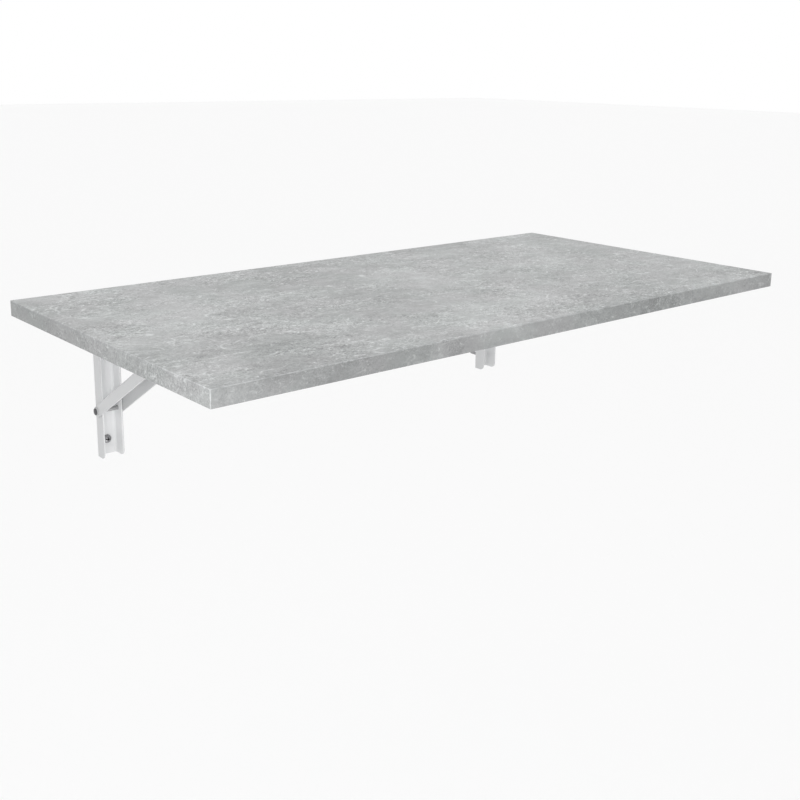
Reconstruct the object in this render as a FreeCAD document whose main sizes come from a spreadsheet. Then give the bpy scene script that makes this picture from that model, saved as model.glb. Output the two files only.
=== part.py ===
import FreeCAD, Part
import math
import os

import Sketcher
from FreeCAD import Placement, Rotation, Vector

# Wall mounted drop leaf table: a laminated leaf on two folding steel brackets.
# X runs along the wall, -Y points into the room, +Z is up, and the wall is the plane Y = 0.
# The origin is the centre of the rectangle of the four wall screws.
# "reach" is a distance from the hinge pin out along the arm, "rise" one from the pin towards the leaf.

DRIVING_SIZES = [
    # leaf
    ("table_width", 1000.0, "leaf along the wall, over the edge bands"),
    ("table_depth", 500.0, "leaf out from the wall, over the edge bands"),
    ("core_thickness", 19.0, "chipboard core"),
    ("laminate_thickness", 0.9, "laminate sheet on each face"),
    ("band_thickness", 1.0, "edge band"),
    ("band_arris", 0.6, "rounding of the bands' outer edges"),
    ("wall_gap", 2.0, "open leaf's back edge to the wall"),
    # bracket places
    ("bracket_inset", 125.0, "bracket's middle in from the leaf's end"),
    ("hinge_from_wall", 12.5, "hinge pin's axis to the wall"),
    ("hinge_below_leaf", 14.5, "hinge pin's axis to the leaf's underside"),
    # sheet steel channels
    ("sheet", 2.0, "sheet steel of plate, arm and strut"),
    ("plate_width", 31.0, "wall plate over its flanges"),
    ("plate_depth", 24.0, "wall plate from the wall to its free edges"),
    ("plate_height", 215.0, "wall plate from top to bottom"),
    ("plate_above_hinge", 10.0, "wall plate's top above the hinge pin"),
    ("plate_bend", 6.0, "wall plate's outer bend radius"),
    ("plate_top_corner", 9.5, "radius that lets the arm's web swing past the plate"),
    ("plate_toe_corner", 7.5, "radius of the plate's lower front corners"),
    ("arm_past_slot", 21.0, "arm's outer end past the folded slot pin"),
    ("arm_depth", 23.5, "arm's flanges below the leaf"),
    ("arm_bend", 3.0, "arm's outer bend radius"),
    ("arm_toe_corner", 5.0, "radius of the arm's outer lower corners"),
    ("arm_heel_corner", 7.0, "radius that lets the arm's back end turn clear of the wall"),
    ("strut_length", 262.0, "strut from pivot pin to slot pin"),
    ("strut_drop", 136.0, "strut's pivot pin below the hinge pin"),
    ("strut_height", 17.0, "strut's flanges"),
    ("strut_bend", 3.0, "strut's outer bend radius"),
    ("strut_web_gap", 8.0, "strut's web starts this far past the wall plate's end"),
    ("strut_web_end", 4.0, "strut's web ends this far short of the slot pin"),
    # layers across a bracket, from the wall plate's flanges outwards
    ("strut_play", 0.5, "wall plate's flange to strut's flange"),
    ("lever_play", 0.5, "strut's flange to release lever"),
    ("lever_sheet", 1.5, "release lever's sheet steel"),
    ("spring_room", 1.5, "release lever to arm's flange, room for its spring"),
    # pins, rivets and slot
    ("pin_dia", 6.0, "hinge, pivot and slot pins"),
    ("running_play", 0.05, "radial play of a piece that turns on a pin"),
    ("seat_play", 0.03, "radial play of a pin that is riveted fast"),
    ("end_play", 0.2, "play beside a piece that turns"),
    ("head_dia", 9.5, "rivet heads"),
    ("head_height", 2.2, "rivet heads"),
    ("head_edge", 1.1, "rivet head's straight rim"),
    ("spacer_dia", 10.0, "spacers on the hinge pin"),
    ("washer_dia", 12.0, "washers on the strut's pivot pin"),
    ("washer_thickness", 1.5, "washers on the strut's pivot pin"),
    ("slot_rise", 3.75, "slot's centre line above the hinge pin, towards the leaf"),
    ("slot_play", 0.3, "slot pin to slot, radial"),
    ("slot_end_play", 0.4, "slot pin to the slot's ends"),
    ("pin_split", 0.3, "slot pin's ends to its middle"),
    ("notch_play", 0.6, "arm's notch round the strut rivet's head"),
    ("notch_flare", 1.6, "widening of the notch's mouth, each side"),
    ("notch_mouth", 3.5, "height of the notch's flared mouth"),
    # release lever
    ("lever_from_pin", 87.4, "lever's rivet from the open slot pin, along the arm"),
    ("lever_drop", 5.4, "lever's rivet below the hinge pin"),
    ("lever_tilt", 8.5, "lever's angle to the arm at rest, in degrees"),
    ("lever_upper", 6.0, "lever's upper edge above its rivet"),
    ("lever_lower", 5.1, "lever's lower edge below its rivet"),
    ("lever_rivet_dia", 5.0, "lever's rivet"),
    ("lever_head_dia", 8.0, "lever rivet's heads"),
    ("lever_head_height", 1.5, "lever rivet's outer head"),
    ("lever_flat_head", 0.3, "lever rivet's flat inner head"),
    ("nose_gap", 0.6, "lever's nose to the slot pin that it holds"),
    ("nose_stop", 0.3, "lever's nose to the arm's web that stops it"),
    ("finger_root", 38.0, "where the finger starts to taper, from the rivet"),
    ("finger_end", 66.0, "finger's tip, from the rivet"),
    ("finger_lower", 6.1, "finger's lower edge below the rivet"),
    ("finger_tip", 2.6, "finger's width at its tip"),
    ("tab_start", 47.0, "finger tab's inner end, from the rivet"),
    ("tab_overhang", 11.0, "finger tab past the arm's flange"),
    ("tab_corner", 4.0, "finger tab's corners"),
    ("tip_corner", 1.2, "finger tip's corner"),
    # release lever's torsion spring
    ("wire_dia", 0.6, "spring wire"),
    ("coil_play", 0.3, "coil round the rivet, radial"),
    ("coil_pitch", 0.68, "advance of one turn"),
    ("wire_gap", 0.05, "wire to what it rests on"),
    ("fixed_leg", 11.0, "spring's leg that is hooked in the arm"),
    ("moving_leg", 14.0, "spring's leg under the lever"),
    ("hook_hole_dia", 1.0, "hole in the arm for the spring's leg"),
    # wall screws
    ("wall_screw_dia", 6.0, "wall screws over the thread"),
    ("wall_screw_neck_dia", 4.8, "plain neck in the plate"),
    ("wall_screw_length", 30.0, "wall screw under its head"),
    ("wall_screw_point", 5.0, "wall screw's point"),
    ("wall_screw_head_dia", 12.5, "wall screw's head"),
    ("wall_screw_head_height", 3.6, "wall screw's head"),
    ("wall_screw_head_rim", 1.2, "straight rim of the head"),
    ("wall_hole_play", 0.3, "wall screw in the plate, radial"),
    ("upper_screw_drop", 38.0, "upper wall screw below the hinge pin"),
    ("lower_screw_rise", 22.0, "lower wall screw above the plate's bottom"),
    # table screws
    ("table_screw_dia", 4.5, "table screws"),
    ("table_screw_length", 18.0, "table screw over its countersunk head"),
    ("table_screw_point", 3.5, "table screw's point"),
    ("table_screw_head_dia", 8.0, "countersunk head"),
    ("countersink_play", 0.05, "countersunk head in the arm's web, radial"),
    ("table_screw_first", 24.0, "first table screw out from the hinge pin"),
    ("table_screw_last", 16.0, "last table screw in from the arm's end"),
    ("pilot_extra", 0.5, "pilot hole deeper than the screw"),
]
TABLE_SCREWS_PER_ARM = 4
COIL_TURNS = 1
COIL_POINTS = 16
SIDES = (("left", -1), ("right", 1))

doc = FreeCAD.newDocument("DropLeafTable")
sheet = doc.addObject("Spreadsheet::Sheet", "Sizes")


class Size:
    """A size with its value and the sheet expression that gives it."""

    def __init__(self, text, value):
        self.text = text
        self.value = value

    def _join(self, sign, other, value, turned=False):
        mine, theirs = self.text, text_of(other)
        if turned:
            mine, theirs = theirs, mine
        return Size(f"({mine} {sign} {theirs})", value)

    def __add__(self, other):
        return self._join("+", other, self.value + value_of(other))

    def __radd__(self, other):
        return self._join("+", other, value_of(other) + self.value, turned=True)

    def __sub__(self, other):
        return self._join("-", other, self.value - value_of(other))

    def __rsub__(self, other):
        return self._join("-", other, value_of(other) - self.value, turned=True)

    def __mul__(self, other):
        return self._join("*", other, self.value * value_of(other))

    def __rmul__(self, other):
        return self._join("*", other, value_of(other) * self.value, turned=True)

    def __truediv__(self, other):
        return self._join("/", other, self.value / value_of(other))

    def __neg__(self):
        return Size(f"(-1 * {self.text})", -self.value)


def value_of(size):
    return size.value if isinstance(size, Size) else float(size)


def text_of(size):
    return size.text if isinstance(size, Size) else repr(float(size))


def root(size):
    return Size(f"sqrt({size.text})", math.sqrt(size.value))


def sine(degrees):
    return Size(f"sin({degrees.text})", math.sin(math.radians(degrees.value)))


def cosine(degrees):
    return Size(f"cos({degrees.text})", math.cos(math.radians(degrees.value)))


def angle_of(tangent):
    return Size(f"atan({tangent.text})", math.degrees(math.atan(tangent.value)))


def fill_sheet():
    """Writes the driving sizes to the sheet and gives them back as Size values by name."""
    for row, (alias, value, note) in enumerate(DRIVING_SIZES, 1):
        sheet.set(f"A{row}", alias)
        sheet.set(f"B{row}", str(value))
        sheet.setAlias(f"B{row}", alias)
        sheet.set(f"C{row}", note)
    doc.recompute()
    return {alias: Size(f"Sizes.{alias}", float(sheet.get(alias))) for alias, _, _ in DRIVING_SIZES}


S = fill_sheet()

# ---- sizes that follow from the driving ones ----

pin_r = S["pin_dia"] / 2
turning_r = pin_r + S["running_play"]
seat_r = pin_r + S["seat_play"]
leaf_thickness = S["core_thickness"] + S["laminate_thickness"] * 2
bracket_spacing = S["table_width"] - S["bracket_inset"] * 2
core_width = S["table_width"] - S["band_thickness"] * 2
core_depth = S["table_depth"] - S["band_thickness"] * 2

# half widths of the layers across a bracket
plate_out = S["plate_width"] / 2
plate_in = plate_out - S["sheet"]
strut_in = plate_out + S["strut_play"]
strut_out = strut_in + S["sheet"]
lever_in = strut_out + S["lever_play"]
lever_out = lever_in + S["lever_sheet"]
arm_in = lever_out + S["spring_room"]
arm_out = arm_in + S["sheet"]

# heights from the hinge pin
plate_below_hinge = S["plate_height"] - S["plate_above_hinge"]
lower_screw_drop = plate_below_hinge - S["lower_screw_rise"]
hinge_z = (S["upper_screw_drop"] + lower_screw_drop) / 2
arm_web_rise = S["hinge_below_leaf"] - S["sheet"]
arm_edge_drop = S["arm_depth"] - S["hinge_below_leaf"]
arm_back = S["hinge_from_wall"] - S["wall_gap"]
leaf_z = hinge_z + S["hinge_below_leaf"]

# the strut and the slot that its pin slides in
strut_offset = S["strut_drop"] + S["slot_rise"]
open_reach = root(S["strut_length"] * S["strut_length"] - strut_offset * strut_offset)
folded_span = root(S["strut_length"] * S["strut_length"] - S["slot_rise"] * S["slot_rise"])
folded_reach = S["strut_drop"] + folded_span
arm_reach = folded_reach + S["arm_past_slot"]
lever_reach = open_reach + S["lever_from_pin"]
strut_angle = angle_of(strut_offset / open_reach)
strut_half = S["strut_height"] / 2
strut_web_start = plate_below_hinge - S["strut_drop"] + S["strut_web_gap"]
strut_web_stop = S["strut_length"] - S["strut_web_end"]

# the stack on the strut's pivot pin
washer_in = strut_out + S["end_play"] / 2
washer_out = washer_in + S["washer_thickness"]

table_screw_run = arm_reach - S["table_screw_first"] - S["table_screw_last"]


# ---- helpers ----

def bracket_x(side):
    return bracket_spacing / 2 * side


def new_body(label):
    body = doc.addObject("PartDesign::Body", label)
    body.Label = label
    return body


def place(body, x=None, y=None, z=None):
    """Puts a body at a point given by sizes."""
    for axis, size in (("x", x), ("y", y), ("z", z)):
        if size is not None:
            body.setExpression(f"Placement.Base.{axis}", text_of(size))


def tilt(body, axis, degrees):
    """Turns a body about an axis through its own origin."""
    body.Placement = Placement(body.Placement.Base, Rotation(axis, degrees.value))
    body.setExpression("Placement.Rotation.Angle", degrees.text)


def new_sketch(body, plane, name, offset=None):
    """A sketch on one of the body's own origin planes, moved along its normal by offset."""
    sketch = body.newObject("Sketcher::SketchObject", f"{body.Name}_{name}")
    support = next(f for f in body.Origin.OriginFeatures if f.Role == plane)
    sketch.AttachmentSupport = (support, "")
    sketch.MapMode = "FlatFace"
    if offset is not None:
        sketch.AttachmentOffset = Placement(Vector(0, 0, value_of(offset)), Rotation())
        sketch.setExpression("AttachmentOffset.Base.z", text_of(offset))
    return sketch


def set_point(sketch, geometry, point, x, y):
    """Ties one point of a sketch to its two sizes."""
    for kind, size in (("DistanceX", x), ("DistanceY", y)):
        if value_of(size) == 0:
            axis = -2 if kind == "DistanceX" else -1
            sketch.addConstraint(Sketcher.Constraint("PointOnObject", geometry, point, axis))
            continue
        constraint = Sketcher.Constraint(kind, -1, 1, geometry, point, value_of(size))
        number = sketch.addConstraint(constraint)
        sketch.setExpression(f"Constraints[{number}]", text_of(size))


def outline(sketch, points, arcs=None):
    """A closed outline through points that are tied to their sizes.

    arcs gives the radius of each side that is an arc, by the number of its first point.
    """
    corners = [Vector(value_of(x), value_of(y), 0) for x, y in points]
    middle = sum(corners, Vector()) / len(corners)
    sides = []
    for i, corner in enumerate(corners):
        following = corners[(i + 1) % len(corners)]
        radius = (arcs or {}).get(i)
        if radius is None:
            made = sketch.addGeometry(Part.LineSegment(corner, following), False)
            sides.append((made, 1, 2))
            continue
        chord = following - corner
        outward = Vector(chord.y, -chord.x, 0).normalize()
        if outward.dot(corner - middle) < 0:
            outward = -outward
        bulge = radius.value - math.sqrt(radius.value ** 2 - (chord.Length / 2) ** 2)
        top = corner + chord / 2 + outward * bulge
        made = sketch.addGeometry(Part.Arc(corner, top, following), False)
        forward = sketch.getPoint(made, 1).distanceToPoint(corner) < 1e-6
        sides.append((made, 1, 2) if forward else (made, 2, 1))
        number = sketch.addConstraint(Sketcher.Constraint("Radius", made, radius.value))
        sketch.setExpression(f"Constraints[{number}]", radius.text)
    for i, (x, y) in enumerate(points):
        made, start, stop = sides[i]
        following, its_start, _ = sides[(i + 1) % len(sides)]
        sketch.addConstraint(Sketcher.Constraint("Coincident", made, stop, following, its_start))
        set_point(sketch, made, start, x, y)


def box_outline(sketch, low, high):
    outline(sketch, [low, (high[0], low[1]), high, (low[0], high[1])])


def circle(sketch, x, y, radius):
    """A circle tied to its centre and radius."""
    centre = Vector(value_of(x), value_of(y), 0)
    made = sketch.addGeometry(Part.Circle(centre, Vector(0, 0, 1), value_of(radius)), False)
    set_point(sketch, made, 3, x, y)
    number = sketch.addConstraint(Sketcher.Constraint("Radius", made, value_of(radius)))
    sketch.setExpression(f"Constraints[{number}]", text_of(radius))


def round_end(sketch, x, radius, way, margin):
    """The area outside a half round of this radius about (x, 0), open towards way."""
    centre = Vector(value_of(x), 0, 0)
    r, reach = radius.value, (radius + margin).value
    low, high = (Vector(centre.x, -r, 0), Vector(centre.x, r, 0))
    arc = sketch.addGeometry(Part.Arc(low, centre + Vector(way * r, 0, 0), high), False)
    start, end = (1, 2) if sketch.getPoint(arc, 1).y < 0 else (2, 1)
    corners = [
        (x, radius + margin),
        (x + (radius + margin) * way, radius + margin),
        (x + (radius + margin) * way, -(radius + margin)),
        (x, -(radius + margin)),
    ]
    spots = [Vector(value_of(cx), value_of(cy), 0) for cx, cy in corners]
    chain = [high] + spots + [low]
    lines = [
        sketch.addGeometry(Part.LineSegment(chain[i], chain[i + 1]), False)
        for i in range(len(chain) - 1)
    ]
    set_point(sketch, arc, 3, x, 0)
    number = sketch.addConstraint(Sketcher.Constraint("Radius", arc, r))
    sketch.setExpression(f"Constraints[{number}]", radius.text)
    sketch.addConstraint(Sketcher.Constraint("Vertical", arc, 3, arc, start))
    sketch.addConstraint(Sketcher.Constraint("Vertical", arc, 3, arc, end))
    sketch.addConstraint(Sketcher.Constraint("Coincident", arc, end, lines[0], 1))
    sketch.addConstraint(Sketcher.Constraint("Coincident", lines[-1], 2, arc, start))
    for i, (cx, cy) in enumerate(corners):
        sketch.addConstraint(Sketcher.Constraint("Coincident", lines[i], 2, lines[i + 1], 1))
        set_point(sketch, lines[i], 2, cx, cy)


def pad(body, sketch, length, name):
    feature = body.newObject("PartDesign::Pad", f"{body.Name}_{name}")
    feature.Profile = sketch
    feature.setExpression("Length", text_of(length))
    doc.recompute()
    return feature


def pocket(body, sketch, name, length=None, towards_normal=False):
    """Cuts both ways through everything, or one way by a length."""
    before = body.Shape.Volume
    feature = body.newObject("PartDesign::Pocket", f"{body.Name}_{name}")
    feature.Profile = sketch
    if length is None:
        feature.Type = "ThroughAll"
        feature.SideType = "Symmetric"
    else:
        feature.Type = "Length"
        feature.Reversed = towards_normal
        feature.setExpression("Length", text_of(length))
    doc.recompute()
    if not body.Shape.Volume < before:
        raise RuntimeError(f"{feature.Name} cuts nothing")
    return feature


def revolve(body, sketch, name, axis):
    feature = body.newObject("PartDesign::Revolution", f"{body.Name}_{name}")
    feature.Profile = sketch
    feature.ReferenceAxis = (sketch, [axis])
    feature.Angle = 360
    doc.recompute()
    return feature


def edges_along(shape, axis, **at):
    """Names of the straight edges along an axis that lie at the given coordinates."""
    names = []
    for number, edge in enumerate(shape.Edges, 1):
        if not isinstance(edge.Curve, Part.Line):
            continue
        ends = [vertex.Point for vertex in edge.Vertexes]
        run = ends[1] - ends[0]
        if abs(getattr(run, axis)) < 0.999 * run.Length:
            continue
        if all(abs(getattr(ends[0], key) - value_of(size)) < 1e-4 for key, size in at.items()):
            names.append(f"Edge{number}")
    return names


def fillet(body, names, radius, name):
    if not names:
        raise RuntimeError(f"{body.Name} {name}: no edge to round")
    base = body.Tip
    feature = body.newObject("PartDesign::Fillet", f"{body.Name}_{name}")
    feature.Base = (base, names)
    feature.setExpression("Radius", text_of(radius))
    doc.recompute()
    return feature


def channel(body, plane, half, inner, free_edge, web_face, start, length, bend):
    """A bent sheet channel: flanges at half and inner, from free_edge to the web's outer face."""
    web_inner = web_face - S["sheet"]
    sketch = new_sketch(body, plane, "section", start)
    outline(sketch, [
        (-half, free_edge), (-half, web_face), (half, web_face), (half, free_edge),
        (inner, free_edge), (inner, web_inner), (-inner, web_inner), (-inner, free_edge),
    ])
    pad(body, sketch, length, "channel")
    outer = edges_along(body.Shape, "y", x=half, z=web_face)
    outer += edges_along(body.Shape, "y", x=-half, z=web_face)
    fillet(body, outer, bend, "outer_bend")
    inside = edges_along(body.Shape, "y", x=inner, z=web_inner)
    inside += edges_along(body.Shape, "y", x=-inner, z=web_inner)
    fillet(body, inside, bend - S["sheet"], "inner_bend")


def dome_radius(head_r, rise):
    return (head_r * head_r + rise * rise) / (rise * 2)


def rivet_profile(sketch, half_shank):
    """Half section of a pin along X with a domed head at each end."""
    head_r = S["head_dia"] / 2
    edge = half_shank + S["head_edge"]
    tip = half_shank + S["head_height"]
    dome = dome_radius(head_r, S["head_height"] - S["head_edge"])
    outline(sketch, [
        (-tip, 0), (-edge, head_r), (-half_shank, head_r), (-half_shank, pin_r),
        (half_shank, pin_r), (half_shank, head_r), (edge, head_r), (tip, 0),
    ], arcs={0: dome, 6: dome})


# ---- wall plate and what is riveted to it ----

def wall_plate(name, side):
    """U channel on the wall, with its flanges forward; its origin is on the wall at hinge height."""
    body = new_body(f"wall_plate_{name}")
    sketch = new_sketch(body, "XY_Plane", "section", -plate_below_hinge)
    back, front, web = 0, -S["plate_depth"], -S["sheet"]
    outline(sketch, [
        (-plate_out, back), (plate_out, back), (plate_out, front), (plate_in, front),
        (plate_in, web), (-plate_in, web), (-plate_in, front), (-plate_out, front),
    ])
    pad(body, sketch, S["plate_height"], "channel")
    outer = edges_along(body.Shape, "z", x=plate_out, y=0)
    outer += edges_along(body.Shape, "z", x=-plate_out, y=0)
    fillet(body, outer, S["plate_bend"], "outer_bend")
    inside = edges_along(body.Shape, "z", x=plate_in, y=web)
    inside += edges_along(body.Shape, "z", x=-plate_in, y=web)
    fillet(body, inside, S["plate_bend"] - S["sheet"], "inner_bend")
    top = edges_along(body.Shape, "x", y=front, z=S["plate_above_hinge"])
    fillet(body, top, S["plate_top_corner"], "top_corners")
    toe = edges_along(body.Shape, "x", y=front, z=-plate_below_hinge)
    fillet(body, toe, S["plate_toe_corner"], "toe_corners")
    pins = new_sketch(body, "YZ_Plane", "pin_holes")
    circle(pins, -S["hinge_from_wall"], 0, seat_r)
    circle(pins, -S["hinge_from_wall"], -S["strut_drop"], seat_r)
    pocket(body, pins, "pin_holes_cut")
    screws = new_sketch(body, "XZ_Plane", "screw_holes")
    hole_r = S["wall_screw_dia"] / 2 + S["wall_hole_play"]
    circle(screws, 0, -S["upper_screw_drop"], hole_r)
    circle(screws, 0, -lower_screw_drop, hole_r)
    pocket(body, screws, "screw_holes_cut")
    place(body, bracket_x(side), None, hinge_z)
    return body


def hinge_pin(name, side):
    """Rivet that the arm turns on, through the wall plate, both spacers and the arm."""
    body = new_body(f"hinge_pin_{name}")
    sketch = new_sketch(body, "XY_Plane", "section")
    rivet_profile(sketch, arm_out + S["end_play"])
    revolve(body, sketch, "turned", "H_Axis")
    place(body, bracket_x(side), -S["hinge_from_wall"], hinge_z)
    return body


def strut_pin(name, side):
    """Rivet that the strut turns on, through the wall plate, the strut and both washers."""
    body = new_body(f"strut_pin_{name}")
    sketch = new_sketch(body, "XY_Plane", "section")
    rivet_profile(sketch, washer_out)
    revolve(body, sketch, "turned", "H_Axis")
    place(body, bracket_x(side), -S["hinge_from_wall"], hinge_z - S["strut_drop"])
    return body


def ring_pair(label, outer_r, near, far, side, drop):
    """Two equal rings on a pin, one on each side of the bracket, from near to far across it."""
    group = doc.addObject("Part::Feature", label)
    group.Label = label
    rings = []
    for way in (-1, 1):
        start = Vector(way * near.value, 0, 0)
        axis = Vector(way, 0, 0)
        length = (far - near).value
        ring = Part.makeCylinder(outer_r.value, length, start, axis)
        rings.append(ring.cut(Part.makeCylinder(seat_r.value, length, start, axis)))
    group.Shape = Part.makeCompound(rings)
    x = bracket_x(side).value
    group.Placement = Placement(
        Vector(x, -S["hinge_from_wall"].value, (hinge_z - drop).value), Rotation())
    return group


# ---- arm ----

def arm(name, side):
    """U channel under the leaf, open downwards; its origin is on the hinge pin."""
    body = new_body(f"arm_{name}")
    channel(body, "XZ_Plane", arm_out, arm_in, -arm_edge_drop, S["hinge_below_leaf"],
            -arm_back, arm_back + arm_reach, S["arm_bend"])
    toe = edges_along(body.Shape, "x", y=-arm_reach, z=-arm_edge_drop)
    fillet(body, toe, S["arm_toe_corner"], "toe_corners")
    heel = edges_along(body.Shape, "x", y=arm_back, z=-arm_edge_drop)
    fillet(body, heel, S["arm_heel_corner"], "heel_corners")

    slot_r = pin_r + S["slot_play"]
    slot_near = open_reach - S["slot_end_play"]
    slot_far = folded_reach + S["slot_end_play"]
    slot = new_sketch(body, "YZ_Plane", "slot")
    box_outline(slot, (-slot_far, S["slot_rise"] - slot_r), (-slot_near, S["slot_rise"] + slot_r))
    pocket(body, slot, "slot_cut")
    ends = new_sketch(body, "YZ_Plane", "slot_ends")
    circle(ends, -slot_near, S["slot_rise"], slot_r)
    circle(ends, -slot_far, S["slot_rise"], slot_r)
    pocket(body, ends, "slot_ends_cut")

    notch_r = S["head_dia"] / 2 + S["notch_play"]
    notch_near = -(S["strut_drop"] - notch_r)
    notch_far = -(S["strut_drop"] + notch_r)
    mouth = -(arm_edge_drop - S["notch_mouth"])
    below = -(arm_edge_drop + S["sheet"])
    notch = new_sketch(body, "YZ_Plane", "notch")
    outline(notch, [
        (notch_far, 0), (notch_far, mouth), (notch_far - S["notch_flare"], -arm_edge_drop),
        (notch_far - S["notch_flare"], below), (notch_near + S["notch_flare"], below),
        (notch_near + S["notch_flare"], -arm_edge_drop), (notch_near, mouth), (notch_near, 0),
    ])
    pocket(body, notch, "notch_cut")
    holes = new_sketch(body, "YZ_Plane", "round_cuts")
    circle(holes, -S["strut_drop"], 0, notch_r)
    circle(holes, 0, 0, turning_r)
    pocket(body, holes, "round_cuts_cut")

    rivet = new_sketch(body, "YZ_Plane", "lever_holes")
    circle(rivet, -lever_reach, -S["lever_drop"], S["lever_rivet_dia"] / 2 + S["seat_play"])
    circle(rivet, -(lever_reach + S["fixed_leg"]), -S["lever_drop"], S["hook_hole_dia"] / 2)
    pocket(body, rivet, "lever_holes_cut", arm_out + S["sheet"], towards_normal=True)

    first = -S["table_screw_first"]
    shank_r = S["table_screw_dia"] / 2 + S["countersink_play"]
    head_r = S["table_screw_head_dia"] / 2 + S["countersink_play"]
    sink = new_sketch(body, "YZ_Plane", "countersink")
    outline(sink, [
        (first, arm_web_rise), (first - head_r, arm_web_rise),
        (first - shank_r, arm_web_rise + (head_r - shank_r)),
        (first - shank_r, S["hinge_below_leaf"]), (first, S["hinge_below_leaf"]),
    ])
    line = Part.LineSegment(Vector(first.value, 0, 0), Vector(first.value, 1, 0))
    centre = sink.addGeometry(line, True)
    set_point(sink, centre, 1, first, arm_web_rise)
    set_point(sink, centre, 2, first, S["hinge_below_leaf"])
    before = body.Shape.Volume
    groove = body.newObject("PartDesign::Groove", f"{body.Name}_countersink_cut")
    groove.Profile = sink
    groove.ReferenceAxis = (sink, ["Axis0"])
    groove.Angle = 360
    doc.recompute()
    pattern = body.newObject("PartDesign::LinearPattern", f"{body.Name}_countersinks")
    pattern.Originals = [groove]
    pattern.Direction = (sink, ["H_Axis"])
    pattern.Reversed = True
    pattern.Occurrences = TABLE_SCREWS_PER_ARM
    pattern.setExpression("Length", table_screw_run.text)
    body.Tip = pattern
    doc.recompute()
    one_hole = before - groove.Shape.Volume
    if before - body.Shape.Volume < (TABLE_SCREWS_PER_ARM - 0.5) * one_hole:
        raise RuntimeError("the arm's countersinks are not all cut")
    place(body, bracket_x(side), -S["hinge_from_wall"], hinge_z)
    return body


# ---- strut and slot pin ----

def strut(name, side):
    """U channel brace; its origin is on its pivot pin and it runs along -Y to the slot pin."""
    body = new_body(f"strut_{name}")
    over = strut_half
    channel(body, "XZ_Plane", strut_out, strut_in, -strut_half, strut_half,
            -over, S["strut_length"] + over * 2, S["strut_bend"])
    windows = new_sketch(body, "XY_Plane", "web_windows")
    past = over + S["sheet"]
    box_outline(windows, (-strut_in, -strut_web_start), (strut_in, past))
    box_outline(windows, (-strut_in, -(S["strut_length"] + past)), (strut_in, -strut_web_stop))
    pocket(body, windows, "web_windows_cut")
    margin = S["sheet"]
    for end, x, way in (("pivot_end", 0, 1), ("slot_end", -S["strut_length"], -1)):
        sketch = new_sketch(body, "YZ_Plane", end)
        round_end(sketch, x, strut_half, way, margin)
        pocket(body, sketch, f"{end}_cut")
    holes = new_sketch(body, "YZ_Plane", "pin_holes")
    circle(holes, 0, 0, turning_r)
    circle(holes, -S["strut_length"], 0, seat_r)
    pocket(body, holes, "pin_holes_cut")
    place(body, bracket_x(side), -S["hinge_from_wall"], hinge_z - S["strut_drop"])
    tilt(body, Vector(-1, 0, 0), strut_angle)
    return body


def slot_pin(name, side):
    """Middle of the slot pin, riveted in the strut."""
    body = new_body(f"slot_pin_{name}")
    half = strut_out + S["pin_split"]
    sketch = new_sketch(body, "YZ_Plane", "section", -half)
    circle(sketch, 0, 0, pin_r)
    pad(body, sketch, half * 2, "pin")
    place(body, bracket_x(side), -(S["hinge_from_wall"] + open_reach), hinge_z + S["slot_rise"])
    return body


def slot_riders(name, side):
    """Ends of the slot pin that ride in the arm's two slots, each with its head outside."""
    group = doc.addObject("Part::Feature", f"slot_riders_{name}")
    group.Label = f"slot_riders_{name}"
    seat = (arm_out + S["end_play"]).value
    edge, tip = seat + S["head_edge"].value, seat + S["head_height"].value
    head_r = S["head_dia"].value / 2
    dome = dome_radius(S["head_dia"] / 2, S["head_height"] - S["head_edge"]).value
    half_angle = math.asin(head_r / dome) / 2
    crown = Vector(tip - dome * (1 - math.cos(half_angle)), dome * math.sin(half_angle), 0)
    ends = []
    starts = {-1: strut_out + S["pin_split"] * 2, 1: lever_out + S["pin_split"]}
    for way, near in starts.items():
        corners = [
            Vector(tip, 0, 0), Vector(near.value, 0, 0), Vector(near.value, pin_r.value, 0),
            Vector(seat, pin_r.value, 0), Vector(seat, head_r, 0), Vector(edge, head_r, 0),
        ]
        section = Part.Wire(
            [Part.makeLine(a, b) for a, b in zip(corners, corners[1:])]
            + [Part.Arc(corners[-1], crown, corners[0]).toShape()])
        end = Part.Face(section).revolve(Vector(), Vector(1, 0, 0), 360)
        ends.append(end if way > 0 else end.mirror(Vector(), Vector(1, 0, 0)))
    group.Shape = Part.makeCompound(ends)
    x, y = bracket_x(side).value, -(S["hinge_from_wall"] + open_reach).value
    group.Placement = Placement(Vector(x, y, (hinge_z + S["slot_rise"]).value), Rotation())
    return group


# ---- release lever, its rivet and spring ----

def at_lever(body, side):
    place(body, bracket_x(side), -(S["hinge_from_wall"] + lever_reach),
          hinge_z - S["lever_drop"])


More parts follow.
